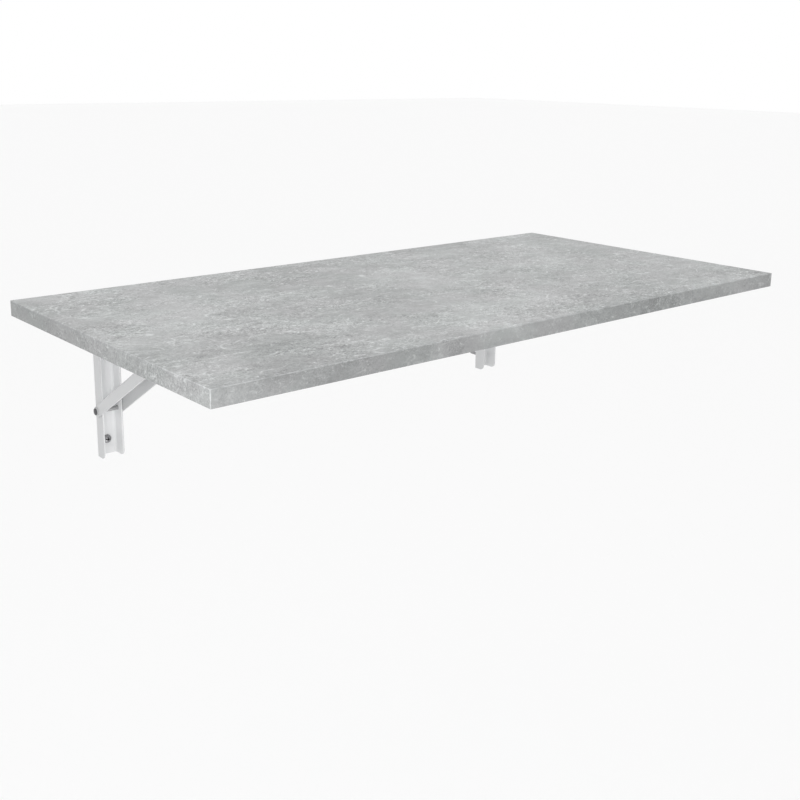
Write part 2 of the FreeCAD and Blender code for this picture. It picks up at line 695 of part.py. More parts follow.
def release_lever(name, side):
    """Flat lever inside the arm: its nose holds the slot pin and its finger hangs below the arm."""
    body = new_body(f"release_lever_{name}")
    sin_tilt, cos_tilt = sine(S["lever_tilt"]), cosine(S["lever_tilt"])
    held = open_reach + pin_r + S["nose_gap"] - lever_reach
    nose = held * cos_tilt - (S["slot_rise"] + S["lever_drop"]) * sin_tilt
    stop = arm_web_rise - S["nose_stop"] + S["lever_drop"]
    nose_top = (stop + nose * sin_tilt) / cos_tilt
    shoulder = (S["lever_upper"] * cos_tilt - stop) / sin_tilt
    blade = new_sketch(body, "YZ_Plane", "blade", lever_in)
    outline(blade, [
        (-nose, -S["lever_lower"]), (-nose, nose_top), (-shoulder, S["lever_upper"]),
        (-S["finger_root"], S["lever_upper"]),
        (-S["finger_end"], -(S["finger_lower"] - S["finger_tip"])),
        (-S["finger_end"], -S["finger_lower"]), (-S["tab_start"], -S["finger_lower"]),
        (-S["finger_root"], -S["lever_lower"]),
    ])
    pad(body, blade, S["lever_sheet"], "blade")
    tab = new_sketch(body, "XY_Plane", "tab", -S["finger_lower"])
    tab_end = arm_out + S["tab_overhang"]
    box_outline(tab, (lever_in, -S["finger_end"]), (tab_end, -S["tab_start"]))
    pad(body, tab, S["lever_sheet"], "tab")
    corners = edges_along(body.Shape, "z", x=tab_end, y=-S["finger_end"])
    corners += edges_along(body.Shape, "z", x=tab_end, y=-S["tab_start"])
    fillet(body, corners, S["tab_corner"], "tab_corners")
    bent = edges_along(body.Shape, "y", x=lever_in, z=-S["finger_lower"])
    fillet(body, bent, S["tip_corner"], "tab_bend")
    hole = new_sketch(body, "YZ_Plane", "rivet_hole")
    circle(hole, 0, 0, S["lever_rivet_dia"] / 2 + S["running_play"])
    pocket(body, hole, "rivet_hole_cut")
    at_lever(body, side)
    tilt(body, Vector(1, 0, 0), S["lever_tilt"])
    return body


def lever_rivet(name, side):
    """Rivet fast in the arm's flange, with a flat head inside that clears the strut."""
    body = new_body(f"lever_rivet_{name}")
    inner = lever_in - S["end_play"] / 4
    shank, head = S["lever_rivet_dia"] / 2, S["lever_head_dia"] / 2
    edge = arm_out + S["lever_head_height"] / 2
    dome = dome_radius(head, S["lever_head_height"] / 2)
    sketch = new_sketch(body, "XY_Plane", "section")
    outline(sketch, [
        (inner - S["lever_flat_head"], 0), (inner - S["lever_flat_head"], head),
        (inner, head), (inner, shank), (arm_out, shank), (arm_out, head), (edge, head),
        (arm_out + S["lever_head_height"], 0),
    ], arcs={6: dome})
    revolve(body, sketch, "turned", "H_Axis")
    at_lever(body, side)
    return body


def lever_spring(name, side):
    """Torsion spring round the rivet: one leg hooked in the arm, the other under the lever."""
    spring = doc.addObject("Part::Feature", f"lever_spring_{name}")
    spring.Label = f"lever_spring_{name}"
    wire_r = S["wire_dia"].value / 2
    coil_r = (S["lever_rivet_dia"] / 2 + S["coil_play"]).value + wire_r
    start_x = lever_out.value + S["wire_gap"].value + wire_r

    # each leg leaves the coil along the upper tangent towards its end
    edge = -(S["lever_lower"].value + S["wire_gap"].value + wire_r)
    lever_turn = Rotation(Vector(1, 0, 0), S["lever_tilt"].value)
    under = lever_turn.multVec(Vector(start_x, S["moving_leg"].value, edge))
    first = math.atan2(under.z, under.y) + math.acos(coil_r / math.hypot(under.y, under.z))
    last = math.pi - math.acos(coil_r / S["fixed_leg"].value) + 2 * math.pi * COIL_TURNS
    advance = S["coil_pitch"].value * (last - first) / (2 * math.pi)
    points = []
    for step in range(COIL_POINTS + 1):
        share = step / COIL_POINTS
        angle = first + (last - first) * share
        x = start_x + advance * share
        points.append(Vector(x, coil_r * math.cos(angle), coil_r * math.sin(angle)))
    fixed = Vector(points[-1].x, -S["fixed_leg"].value, 0)
    hook = Vector(lever_in.value, under.y, under.z)
    anchor = Vector(arm_out.value, fixed.y, 0)
    path = Part.makePolygon([hook, under, *points, fixed, anchor])
    profile = Part.Wire([Part.makeCircle(wire_r, hook, under - hook)])
    spring.Shape = path.makePipeShell([profile], True, False, 1)
    spring.Placement = Placement(
        Vector(bracket_x(side).value, -(S["hinge_from_wall"] + lever_reach).value,
               (hinge_z - S["lever_drop"]).value), Rotation())
    return spring


# ---- leaf ----

def table_screw_places():
    """Places of the table screws on the leaf, as sizes along X and Y from its back edge."""
    spots = []
    pitch = table_screw_run / (TABLE_SCREWS_PER_ARM - 1)
    for _, side in SIDES:
        for i in range(TABLE_SCREWS_PER_ARM):
            reach = arm_back + S["table_screw_first"] + pitch * i
            spots.append((bracket_x(side), -reach))
    return spots


def leaf_slab(label, low, high, base, thickness):
    """A flat piece of the leaf, drawn from the leaf's back edge at its underside."""
    body = new_body(label)
    sketch = new_sketch(body, "XY_Plane", "outline", base)
    box_outline(sketch, low, high)
    pad(body, sketch, thickness, "slab")
    place(body, None, -S["wall_gap"], leaf_z)
    return body


def leaf_face(label, base, thickness):
    back = -S["band_thickness"]
    return leaf_slab(label, (-core_width / 2, back - core_depth), (core_width / 2, back),
                     base, thickness)


def screw_holes(body, base, depth, name):
    sketch = new_sketch(body, "XY_Plane", name, base)
    radius = S["table_screw_dia"] / 2 + S["seat_play"]
    for x, y in table_screw_places():
        circle(sketch, x, y, radius)
    pocket(body, sketch, f"{name}_cut", depth, towards_normal=True)


def tabletop():
    """Chipboard core, a laminate sheet on each face and an edge band round all four edges."""
    thin = S["laminate_thickness"]
    underside = leaf_face("laminate_underside", None, thin)
    screw_holes(underside, None, thin, "screw_holes")
    core = leaf_face("tabletop_core", thin, S["core_thickness"])
    in_core = S["table_screw_length"] - S["sheet"] - thin
    screw_holes(core, thin, in_core + S["pilot_extra"], "pilot_holes")
    top = leaf_face("laminate_top", thin + S["core_thickness"], thin)
    bands = []
    half, deep, band = S["table_width"] / 2, S["table_depth"], S["band_thickness"]
    for label, low, high, outer in (
        ("edge_band_front", (-half, -deep), (half, -(deep - band)), -deep),
        ("edge_band_back", (-half, -band), (half, 0), 0),
    ):
        body = leaf_slab(label, low, high, None, leaf_thickness)
        shape = body.Shape
        edges = edges_along(shape, "x", y=outer)
        edges += edges_along(shape, "z", x=half, y=outer) + edges_along(shape, "z", x=-half, y=outer)
        fillet(body, edges, S["band_arris"], "arris")
        bands.append(body)
    for label, way in (("edge_band_left", -1), ("edge_band_right", 1)):
        low_x, high_x = (-half, -half + band) if way < 0 else (half - band, half)
        body = leaf_slab(label, (low_x, -(deep - band)), (high_x, -band), None, leaf_thickness)
        fillet(body, edges_along(body.Shape, "y", x=half * way), S["band_arris"], "arris")
        bands.append(body)
    return [core, top, underside] + bands


# ---- screws ----

def screw_group(label, pattern, spots):
    """Copies of one screw as separate solids of one piece."""
    group = doc.addObject("Part::Feature", label)
    group.Label = label
    copies = []
    for spot in spots:
        copy = pattern.Shape.copy()
        copy.translate(spot)
        copies.append(copy)
    group.Shape = Part.makeCompound(copies)
    group.Placement = Placement()
    return group


def wall_screws():
    """Four round headed wall screws; the origin lies at the middle of their rectangle."""
    screw = new_body("wall_screw_pattern")
    shank, head = S["wall_screw_dia"] / 2, S["wall_screw_head_dia"] / 2
    neck = S["wall_screw_neck_dia"] / 2
    seat = -S["sheet"]
    rim = S["wall_screw_head_rim"]
    end = S["wall_screw_length"] - S["sheet"]
    sketch = new_sketch(screw, "XY_Plane", "section")
    dome = dome_radius(head, S["wall_screw_head_height"] - rim)
    outline(sketch, [
        (0, seat - S["wall_screw_head_height"]), (head, seat - rim), (head, seat), (neck, seat),
        (neck, 0), (shank, 0), (shank, end - S["wall_screw_point"]), (0, end),
    ], arcs={0: dome})
    revolve(screw, sketch, "turned", "V_Axis")
    half_height = (lower_screw_drop - S["upper_screw_drop"]) / 2
    spots = [
        Vector(bracket_x(side).value, 0, way * half_height.value)
        for _, side in SIDES for way in (-1, 1)
    ]
    return screw_group("wall_screws", screw, spots)


def table_screws():
    """Countersunk screws that hold each arm to the leaf, one group for each arm."""
    screw = new_body("table_screw_pattern")
    shank, head = S["table_screw_dia"] / 2, S["table_screw_head_dia"] / 2
    sketch = new_sketch(screw, "XZ_Plane", "section")
    outline(sketch, [
        (0, 0), (head, 0), (shank, head - shank),
        (shank, S["table_screw_length"] - S["table_screw_point"]), (0, S["table_screw_length"]),
    ])
    revolve(screw, sketch, "turned", "V_Axis")
    places = table_screw_places()
    groups = []
    for number, (name, _) in enumerate(SIDES):
        first = number * TABLE_SCREWS_PER_ARM
        spots = [
            Vector(x.value, (y - S["wall_gap"]).value, (leaf_z - S["sheet"]).value)
            for x, y in places[first:first + TABLE_SCREWS_PER_ARM]
        ]
        groups.append(screw_group(f"table_screws_{name}", screw, spots))
    return groups


# ---- the whole table ----

def bracket(name, side):
    spacer_r, washer_r = S["spacer_dia"] / 2, S["washer_dia"] / 2
    spacers = ring_pair(f"hinge_spacers_{name}", spacer_r, plate_out, arm_in - S["end_play"],
                        side, 0)
    washers = ring_pair(f"strut_washers_{name}", washer_r, washer_in, washer_out,
                        side, S["strut_drop"])
    return [
        wall_plate(name, side), hinge_pin(name, side), spacers,
        strut_pin(name, side), washers,
        arm(name, side), strut(name, side), slot_pin(name, side), slot_riders(name, side),
        release_lever(name, side), lever_rivet(name, side), lever_spring(name, side),
    ]


pieces = tabletop()
for side_name, side_sign in SIDES:
    pieces += bracket(side_name, side_sign)
pieces.append(wall_screws())
pieces += table_screws()
doc.recompute()

for thing in doc.Objects:
    if "Invalid" in thing.State or "Error" in thing.State:
        raise RuntimeError(f"{thing.Name} did not recompute: {thing.State}")
for piece in pieces:
    if piece.Shape.isNull() or not piece.Shape.isValid():
        raise RuntimeError(f"{piece.Label} has no valid shape")

os.makedirs("parts", exist_ok=True)
for piece in pieces:
    piece.Shape.exportStep(os.path.join("parts", f"{piece.Label}.step"))
    print(f"{piece.Label}: {len(piece.Shape.Solids)} solid(s), {piece.Shape.Volume:.1f} mm3")
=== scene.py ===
import math

import bmesh
import bpy
from mathutils import Matrix, Vector


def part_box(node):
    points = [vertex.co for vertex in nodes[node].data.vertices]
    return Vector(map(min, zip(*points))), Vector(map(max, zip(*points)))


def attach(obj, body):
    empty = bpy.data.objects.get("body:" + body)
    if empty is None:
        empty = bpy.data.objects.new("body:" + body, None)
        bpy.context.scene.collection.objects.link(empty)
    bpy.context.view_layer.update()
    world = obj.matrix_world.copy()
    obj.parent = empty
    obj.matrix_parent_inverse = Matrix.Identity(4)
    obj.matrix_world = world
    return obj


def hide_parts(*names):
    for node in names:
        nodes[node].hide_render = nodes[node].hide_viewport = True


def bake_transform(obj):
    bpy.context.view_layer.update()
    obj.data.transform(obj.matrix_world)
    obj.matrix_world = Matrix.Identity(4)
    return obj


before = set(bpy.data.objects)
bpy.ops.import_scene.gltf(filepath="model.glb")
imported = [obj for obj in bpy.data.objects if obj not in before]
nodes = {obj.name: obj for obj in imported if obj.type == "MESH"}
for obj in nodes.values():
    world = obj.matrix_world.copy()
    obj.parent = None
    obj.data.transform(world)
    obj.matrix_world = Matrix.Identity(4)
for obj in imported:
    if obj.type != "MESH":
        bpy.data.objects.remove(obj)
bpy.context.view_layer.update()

# places and sizes from the part, in metres
BRACKET_X = {"left": -0.375, "right": 0.375}
LEAF_HALF = 0.5
LEAF_FRONT = -0.502
LEAF_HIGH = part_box("edge_band_front")[1][2]
LAMINATE, BAND = 0.0009, 0.001
HINGE_Y, HINGE_Z = -0.0125, 0.1105
WALL_SCREW_Z = (-0.0725, 0.0725)
TABLE_SCREW_HEAD = 0.004                        # radius
LEVER_REACH, LEVER_DROP = 0.309017, 0.0054      # from the hinge pin to the levers' rivets
LEVER_TILT = math.radians(8.5)

# linear colours of the pale marks in the concrete print, and of the painted highlight along the
# leaf's upper edges
FLECK = (0.7, 0.72, 0.72, 1)
STROKE = (0.74, 0.76, 0.76, 1)
RIM_HIGHLIGHT = (0.6, 0.62, 0.62, 1)
# short strokes and long ones: cell scale, line width, patch scale, patch edge
STROKE_LAYERS = ((26.0, 0.03, 60.0, 0.5), (8.0, 0.011, 14.0, 0.54))
# where a painted tone changes, out from a bracket's middle, and the width of the change
COAT_CHANGE = (0.0142, 0.0012)                  # within the wall plate's flanges
PIN_CHANGE = (0.0185, 0.0004)                   # past the strut's flanges


# ---- camera at the photograph's viewing angle ----

def add_camera():
    """The photograph's camera, as fitted to the leaf and both brackets."""
    azimuth, elevation, roll = (math.radians(a) for a in (40.3724, 13.6988, 0.7836))
    place = (-1.01646, -1.37655, 0.45464)
    forward = Vector((math.sin(azimuth) * math.cos(elevation),
                      math.cos(azimuth) * math.cos(elevation), -math.sin(elevation)))
    level = Vector((math.cos(azimuth), -math.sin(azimuth), 0.0))
    above = level.cross(forward)
    right = level * math.cos(roll) + above * math.sin(roll)
    up = above * math.cos(roll) - level * math.sin(roll)
    data = bpy.data.cameras.new("camera")
    data.sensor_width = 36.0
    data.lens = 48.7643
    data.shift_x, data.shift_y = 0.0123, -0.0921
    data.clip_start, data.clip_end = 0.01, 200.0
    camera = bpy.data.objects.new("camera", data)
    turn = Matrix((right, up, -forward)).transposed().to_4x4()
    camera.matrix_world = Matrix.Translation(place) @ turn
    bpy.context.scene.collection.objects.link(camera)
    bpy.context.scene.camera = camera


# ---- node helpers ----

class Nodes:
    """Short calls for building one material's node tree."""

    # sockets of the Mix node that carry colour
    MIX_FIRST, MIX_SECOND, MIX_RESULT = 6, 7, 2

    def __init__(self, name, **values):
        self.material = bpy.data.materials.new(name)
        self.material.use_nodes = True
        self.tree = self.material.node_tree
        self.tree.nodes.clear()
        self.output = self.tree.nodes.new("ShaderNodeOutputMaterial")
        self.shader = self.add("ShaderNodeBsdfPrincipled", **values)
        self.link(self.shader.outputs["BSDF"], self.output.inputs["Surface"])
        self.place = self.tree.nodes.new("ShaderNodeTexCoord").outputs["Object"]

    def add(self, kind, settings=None, **values):
        """A node; a value's name is its socket's, with _ for a space."""
        node = self.tree.nodes.new(kind)
        for key, value in (settings or {}).items():
            setattr(node, key, value)
        for key, value in values.items():
            self.set(node.inputs[key.replace("_", " ")], value)
        return node

    def set(self, socket, value):
        if isinstance(value, bpy.types.NodeSocket):
            self.link(value, socket)
        else:
            socket.default_value = value

    def set_shader(self, name, value):
        self.set(self.shader.inputs[name], value)

    def link(self, start, end):
        self.tree.links.new(start, end)

    def axes(self):
        """X, Y and Z of the place on the object, as three sockets."""
        node = self.add("ShaderNodeSeparateXYZ", Vector=self.place)
        return node.outputs["X"], node.outputs["Y"], node.outputs["Z"]

    def scaled(self, vector, scale, turn=(0.0, 0.0, 0.0)):
        node = self.add("ShaderNodeMapping", Vector=vector, Scale=scale, Rotation=turn)
        return node.outputs["Vector"]

    def noise(self, scale, detail=4.0, roughness=0.55, vector=None, distortion=0.0):
        node = self.add("ShaderNodeTexNoise", Vector=vector or self.place, Scale=scale,
                        Detail=detail, Roughness=roughness, Distortion=distortion)
        return node.outputs["Fac"]

    def ramp(self, value, stops):
        """Colours between stops of (position, colour)."""
        node = self.add("ShaderNodeValToRGB", Fac=value)
        elements = node.color_ramp.elements
        while len(elements) < len(stops):
            elements.new(0.5)
        for element, (position, colour) in zip(elements, stops):
            element.position = position
            element.color = (*colour, 1.0)
        return node.outputs["Color"]

    def grey_ramp(self, value, *stops):
        """Greys between stops of (position, grey)."""
        return self.ramp(value, [(position, (grey, grey, grey)) for position, grey in stops])

    def math(self, operation, first, second=0.0, third=0.0):
        node = self.tree.nodes.new("ShaderNodeMath")
        node.operation = operation
        for socket, value in zip(node.inputs, (first, second, third)):
            self.set(socket, value)
        return node.outputs[0]

    def past(self, value, edge, soft):
        """0 below edge and 1 above it, over a soft width."""
        node = self.add("ShaderNodeMapRange", {"interpolation_type": "SMOOTHSTEP"}, Value=value,
                        From_Min=edge - soft / 2, From_Max=edge + soft / 2)
        return node.outputs["Result"]

    def mix(self, factor, first, second, blend="MIX"):
        node = self.tree.nodes.new("ShaderNodeMix")
        node.data_type = "RGBA"
        node.blend_type = blend
        self.set(node.inputs["Factor"], factor)
        self.set(node.inputs[self.MIX_FIRST], first)
        self.set(node.inputs[self.MIX_SECOND], second)
        return node.outputs[self.MIX_RESULT]

    def past_in_bracket(self, change):
        """0 near the middle of a bracket, along X, and 1 past the place of change."""
        x, _, _ = self.axes()
        out = self.math("SUBTRACT", self.math("ABSOLUTE", x), BRACKET_X["right"])
        return self.past(self.math("ABSOLUTE", out), *change)

    def bump(self, height, strength, distance):
        node = self.add("ShaderNodeBump", Height=height, Strength=strength, Distance=distance)
        self.link(node.outputs["Normal"], self.shader.inputs["Normal"])


def darker(colour, share):
    return (*(c * share for c in colour), 1)


def paint(material, *names):
    """Gives CAD nodes their material."""
    for name in names:
        node = nodes[name]
        if not node.material_slots:
            node.data.materials.append(material)
        for slot in node.material_slots:
            slot.material = material


# ---- materials ----

def concrete(name, tone, weights, pale_share, stroke_share):
    """Printed concrete: clouds, mottling, flecks and grain, with pale trowel strokes.

    tone is the mean grey and weights are the shares of the four noises, from large to fine.
    pale_share is how strongly the pale flecks stand out, and stroke_share how strongly the
    strokes do.
    """
    n = Nodes(name)
    drawn = n.scaled(n.place, (0.72, 1.0, 1.0), (0.0, 0.0, 0.12))
    clouds = n.noise(6.5, 3.0, 0.55, drawn, 0.6)
    mottle = n.noise(30.0, 6.0, 0.6, drawn, 0.9)
    flecks = n.noise(95.0, 6.0, 0.7, n.scaled(n.place, (0.75, 1.0, 1.0)), 1.4)
    fine = n.noise(430.0, 3.0, 0.75)
    # smooth areas between rough ones
    rough = n.grey_ramp(n.noise(16.0, 4.0, 0.6, drawn, 0.8), (0.4, 0.4), (0.6, 1.15))
    shade = 1.0 - (weights[0] + weights[1]) / 2
    for noise, weight in zip((clouds, mottle), weights):
        shade = n.math("MULTIPLY_ADD", noise, weight, shade)
    for noise, weight in zip((flecks, fine), weights[2:]):
        change = n.math("MULTIPLY", n.math("SUBTRACT", noise, 0.5), rough)
        shade = n.math("MULTIPLY_ADD", change, weight, shade)

    greenish = (tone, tone * 1.035, tone * 1.028, 1)
    bluish = (tone * 1.02, tone * 1.03, tone * 1.035, 1)
    tint = n.mix(n.grey_ramp(n.noise(13.0, 2.0), (0.4, 0.0), (0.6, 1.0)), greenish, bluish)
    shaded = n.add("ShaderNodeVectorMath", {"operation": "SCALE"}, Scale=shade)
    n.link(tint, shaded.inputs[0])
    spots = n.grey_ramp(n.noise(170.0, 5.0, 0.75, drawn, 0.6), (0.56, 0.0), (0.64, 1.0))
    pale = n.math("MULTIPLY", n.math("MULTIPLY", spots, rough), pale_share)
    colour = n.mix(pale, shaded.outputs["Vector"], FLECK)

    # pale strokes where a warped cell pattern's edges meet a patchy mask
    warp_share, patch_soft = 0.08, 0.1
    warp = n.add("ShaderNodeTexNoise", Vector=drawn, Scale=14.0, Detail=2.0)
    moved = n.mix(warp_share, n.scaled(drawn, (0.6, 1.0, 1.0)), warp.outputs["Color"], "ADD")
    layers = []
    for cell_scale, line_width, patch_scale, patch_edge in STROKE_LAYERS:
        cells = n.add("ShaderNodeTexVoronoi", {"feature": "DISTANCE_TO_EDGE"}, Vector=moved,
                      Scale=cell_scale)
        line = n.grey_ramp(cells.outputs["Distance"], (0.0, 1.0), (line_width, 0.0))
        patch = n.grey_ramp(n.noise(patch_scale, 3.0, 0.6, drawn), (patch_edge, 0.0),
                            (patch_edge + patch_soft, 1.0))
        layers.append(n.math("MULTIPLY", line, patch))
    stroke = n.math("MULTIPLY", n.math("MAXIMUM", *layers), stroke_share)
    colour = n.mix(stroke, colour, STROKE)

    # painted highlight: a broken pale line along the leaf's upper edge and its corners
    x, y, z = n.axes()
    rim_soft = 0.0008
    at_top = n.past(z, LEAF_HIGH - LAMINATE, 0.0005)
    at_end = n.past(n.math("ABSOLUTE", x), LEAF_HALF - BAND, rim_soft)
    at_front = n.past(n.math("MULTIPLY", y, -1.0), -LEAF_FRONT - BAND, rim_soft)
    rim = n.math("MAXIMUM", n.math("MULTIPLY", at_top, n.math("MAXIMUM", at_end, at_front)),
                 n.math("MULTIPLY", at_end, at_front))
    # the pale rim is painted highlight, broken up by the flecks
    rim_highlight = n.math("MULTIPLY", rim, n.grey_ramp(flecks, (0.38, 0.15), (0.6, 0.5)))
    n.set_shader("Base Color", n.mix(rim_highlight, colour, RIM_HIGHLIGHT))
    n.set_shader("Roughness", n.grey_ramp(mottle, (0.3, 0.46), (0.7, 0.6)))
    n.bump(fine, 0.2, 0.0002)
    return n.material


def chipboard():
    """The leaf's core: chips that lie flat."""
    n = Nodes("chipboard", Roughness=0.85)
    cells = n.add("ShaderNodeTexVoronoi", Vector=n.scaled(n.place, (1, 1, 3)), Scale=260.0)
    chips = n.ramp(cells.outputs["Color"], [(0.0, (0.26, 0.17, 0.09)), (0.5, (0.45, 0.32, 0.19)),
                                            (1.0, (0.62, 0.48, 0.32))])
    n.set_shader("Base Color", chips)
    n.bump(cells.outputs["Distance"], 0.4, 0.0004)
    return n.material


def powder_coat(name, painted_light_inner=None):
    """White powder coat with its fine orange peel, with a paler tone between a plate's flanges
    when one is given: painted light.
    """
    n = Nodes(name, Coat_Weight=0.08, Coat_Roughness=0.25)
    drift = n.noise(18.0, 2.0)
    colour = n.mix(drift, (0.49, 0.495, 0.50, 1), (0.525, 0.53, 0.535, 1))
    if painted_light_inner:
        # painted light: the coat between the flanges is paler, standing in for the light in the
        # channel
        pale = n.mix(drift, darker(painted_light_inner, 0.95), (*painted_light_inner, 1))
        # painted shade: toned down towards the plate's toe, which is where above_toe is 0
        per_metre, at_origin = 7.0, 0.66
        above_toe = n.math("MULTIPLY_ADD", n.axes()[2], per_metre, at_origin)
        pale = n.mix(n.grey_ramp(above_toe, (0.0, 0.82), (0.3, 1.0)), (0, 0, 0, 1), pale)
        colour = n.mix(n.past_in_bracket(COAT_CHANGE), pale, colour)
    n.set_shader("Base Color", colour)
    peel = n.noise(900.0, 2.0, 0.5)
    n.set_shader("Roughness", n.grey_ramp(peel, (0.3, 0.38), (0.7, 0.5)))
    n.bump(peel, 0.12, 0.0001)
    return n.material


def steel(name, dark, light, rough, scale, painted_light_inside=None):
    """Turned steel, with a paler and less metallic tone on a pin between a bracket's flanges when
    one is given: painted light.
    """
    n = Nodes(name, Metallic=1.0)
    turned = n.noise(scale, 4.0, 0.6, n.scaled(n.place, (1.0, 3.0, 3.0)))
    colour = n.mix(turned, (*dark, 1), (*light, 1))
    if painted_light_inside:
        # painted light: the shank between the flanges is paler and less metallic than the dark
        # heads
        is_head = n.past_in_bracket(PIN_CHANGE)
        colour = n.mix(is_head, n.mix(turned, darker(painted_light_inside, 0.8), (*painted_light_inside, 1)), colour)
        n.set_shader("Metallic", n.grey_ramp(is_head, (0.0, 0.25), (1.0, 1.0)))
    n.set_shader("Base Color", colour)
    n.set_shader("Roughness", n.grey_ramp(turned, (0.3, rough - 0.08), (0.7, rough + 0.1)))
    n.bump(turned, 0.1, 0.0001)
    return n.material


# ---- pieces in place of the plain solids ----

def new_piece(name, bm, materials, body, node):
    """Makes a mesh the piece that rides on a body in place of a CAD node."""
    mesh = bpy.data.meshes.new(name)
    bm.to_mesh(mesh)
    bm.free()
    for material in materials:
        mesh.materials.append(material)
    piece = bpy.data.objects.new(name, mesh)
    bpy.context.scene.collection.objects.link(piece)
    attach(piece, body)
    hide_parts(node)


def lathe(bm, rings, across):
    """Joins rings of (distance along, radius or radius at an angle) into a skin with open ends."""
    rows = []
    for along, radii in rings:
        row = []
        for i in range(across):
            angle = 2 * math.pi * i / across
            radius = radii(angle) if callable(radii) else radii
            row.append(bm.verts.new((radius * math.cos(angle), radius * math.sin(angle), along)))
        rows.append(row)
    for low, high in zip(rows, rows[1:]):
        for i in range(across):
            j = (i + 1) % across
            bm.faces.new((low[i], low[j], high[j], high[i]))
    return rows


def thread_rings(start, end, root, crest, pitch, point):
    """Rings of a screw's thread from start to end; it narrows to a tip over the length point."""
    rings_per_turn, steep, tip_share, least = 8, 3.2, 0.04, 5e-5
    steps = int(round((end - start) / pitch * rings_per_turn))
    rings = []
    for i in range(steps + 1):
        along = start + (end - start) * i / steps
        shrink = min(1.0, max(0.0, (end - along) / point))
        fade = min(1.0, (along - start) / pitch)

        def radius(angle, along=along, shrink=shrink, fade=fade):
            turn = (along / pitch - angle / (2 * math.pi)) % 1.0
            ridge = max(0.0, 1.0 - abs(turn - 0.5) * steep)
            full = root + (crest - root) * ridge * fade
            return max(full * (tip_share + (1 - tip_share) * shrink), least)

        rings.append((along, radius))
    return rings


def cross_depth(x, y, arm, width, deep):
    """Depth of a Phillips recess at a point of the head; the arms rise towards their ends."""
    rise_share, core_share = 0.45, 0.95
    best = 0.0
    for along, side in ((abs(x), abs(y)), (abs(y), abs(x))):
        if along < arm and side < width / 2:
            best = max(best, deep * min(1.0, (arm - along) / (arm * rise_share)))
    if math.hypot(x, y) < width * core_share:
        best = deep
    return best


def screw_head(bm, row, surface, radius, arm, width, deep, turn):
    """Closes a head's rim with a flat or domed face that has a Phillips recess in it.

    row is the rim's ring, and surface gives the face's place along the axis at a radius.
    arm, width and deep are the recess's reach, slot width and depth, and turn its angle.
    """
    across = len(row)
    steps, shade_depth_share = 34, 0.15
    cos, sin = math.cos(turn), math.sin(turn)
    outer = row
    for k in range(1, steps):
        r = radius * (1 - k / steps)
        ring = []
        for i in range(across):
            angle = 2 * math.pi * i / across
            x, y = r * math.cos(angle), r * math.sin(angle)
            sunk = cross_depth(x * cos + y * sin, y * cos - x * sin, arm, width, deep)
            ring.append(bm.verts.new((x, y, surface(r) + sunk)))
        for i in range(across):
            j = (i + 1) % across
            face = bm.faces.new((ring[i], ring[j], outer[j], outer[i]))
            mid = face.calc_center_median()
            x, y = mid.x * cos + mid.y * sin, mid.y * cos - mid.x * sin
            # painted shade: faces deeper in the recess get the darker second material
            in_recess = cross_depth(x, y, arm, width, deep) > deep * shade_depth_share
            face.material_index = int(in_recess)
        outer = ring
    middle = bm.verts.new((0, 0, surface(0.0) + deep))
    for i in range(across):
        bm.faces.new((middle, outer[(i + 1) % across], outer[i])).material_index = 1


def dome(radius, edge, top):
    """Place along the axis of a domed head between its rim, at edge, and its middle, at top."""
    rise = edge - top
    ball = (radius * radius + rise * rise) / (2 * rise)
    return lambda r: top + (ball - math.sqrt(ball * ball - r * r))


def one_wall_screw(turn):
    """A wall screw with its axis along +Z here: domed Phillips head below 0, thread above it."""
    bm = bmesh.new()
    head, neck = 0.00625, 0.0024
    seat, rim, top = -0.002, -0.0032, -0.0056
    face = head - 0.00012
    rings = [(rim, face), (rim + 0.0002, head), (seat - 0.0001, head),
             (seat, head - 0.0001), (seat, neck), (0.0, neck)]
    rings += thread_rings(0.00005, 0.028, root=0.0021, crest=0.00298, pitch=0.0024, point=0.005)
    rows = lathe(bm, rings, across=96)
    screw_head(bm, rows[0], dome(face, rim, top), face, arm=0.0035, width=0.0013, deep=0.0021,
               turn=turn)
    bm.faces.new(rows[-1])
    return bm


def one_table_screw(turn):
    """A countersunk screw with its axis along +Z here: Phillips head at 0, thread above it."""
    bm = bmesh.new()
    head, face = TABLE_SCREW_HEAD, TABLE_SCREW_HEAD - 0.0001
    rings = [(0.0, face), (0.0001, head), (0.0018, 0.0022), (0.0045, 0.0021)]
    rings += thread_rings(0.0046, 0.018, root=0.0015, crest=0.00222, pitch=0.0018, point=0.0035)
    rows = lathe(bm, rings, across=72)
    screw_head(bm, rows[0], lambda r: 0.0, face, arm=0.0022, width=0.0008, deep=0.0016, turn=turn)
    bm.faces.new(rows[-1])
    return bm


def gather(screws):
    """Screws, each with its place, as one mesh."""
    whole = bmesh.new()
    for bm, place in screws:
        mesh = bpy.data.meshes.new("one_screw")
        bmesh.ops.transform(bm, matrix=place, verts=bm.verts)
        bm.to_mesh(mesh)
        bm.free()
        whole.from_mesh(mesh)
        bpy.data.meshes.remove(mesh)
    return whole


def add_wall_screws(materials):
    """The four wall screws, each turned to an angle of its own."""
    into_wall = Matrix.Rotation(math.radians(-90), 4, "X")
    screws = []
    for i, x in enumerate(BRACKET_X.values()):
        for j, z in enumerate(WALL_SCREW_Z):
            place = Matrix.Translation((x, 0.0, z)) @ into_wall
            screws.append((one_wall_screw(0.08 + 0.5 * i + 0.6 * j), place))
    new_piece("wall_screws_phillips", gather(screws), materials, "wall_brackets",
              "wall_screws")


def add_table_screws(materials):
    """Each arm's row of screws, each turned to an angle of its own."""
    count = 4
    for side, x in BRACKET_X.items():
        low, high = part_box(f"table_screws_{side}")
        first, last = high[1] - TABLE_SCREW_HEAD, low[1] + TABLE_SCREW_HEAD
        screws = []
        for i in range(count):
            y = first + (last - first) * i / (count - 1)
            screws.append((one_table_screw(0.4 + 0.7 * i), Matrix.Translation((x, y, low[2]))))
        new_piece(f"table_screws_phillips_{side}", gather(screws), materials, "leaf",
                  f"table_screws_{side}")


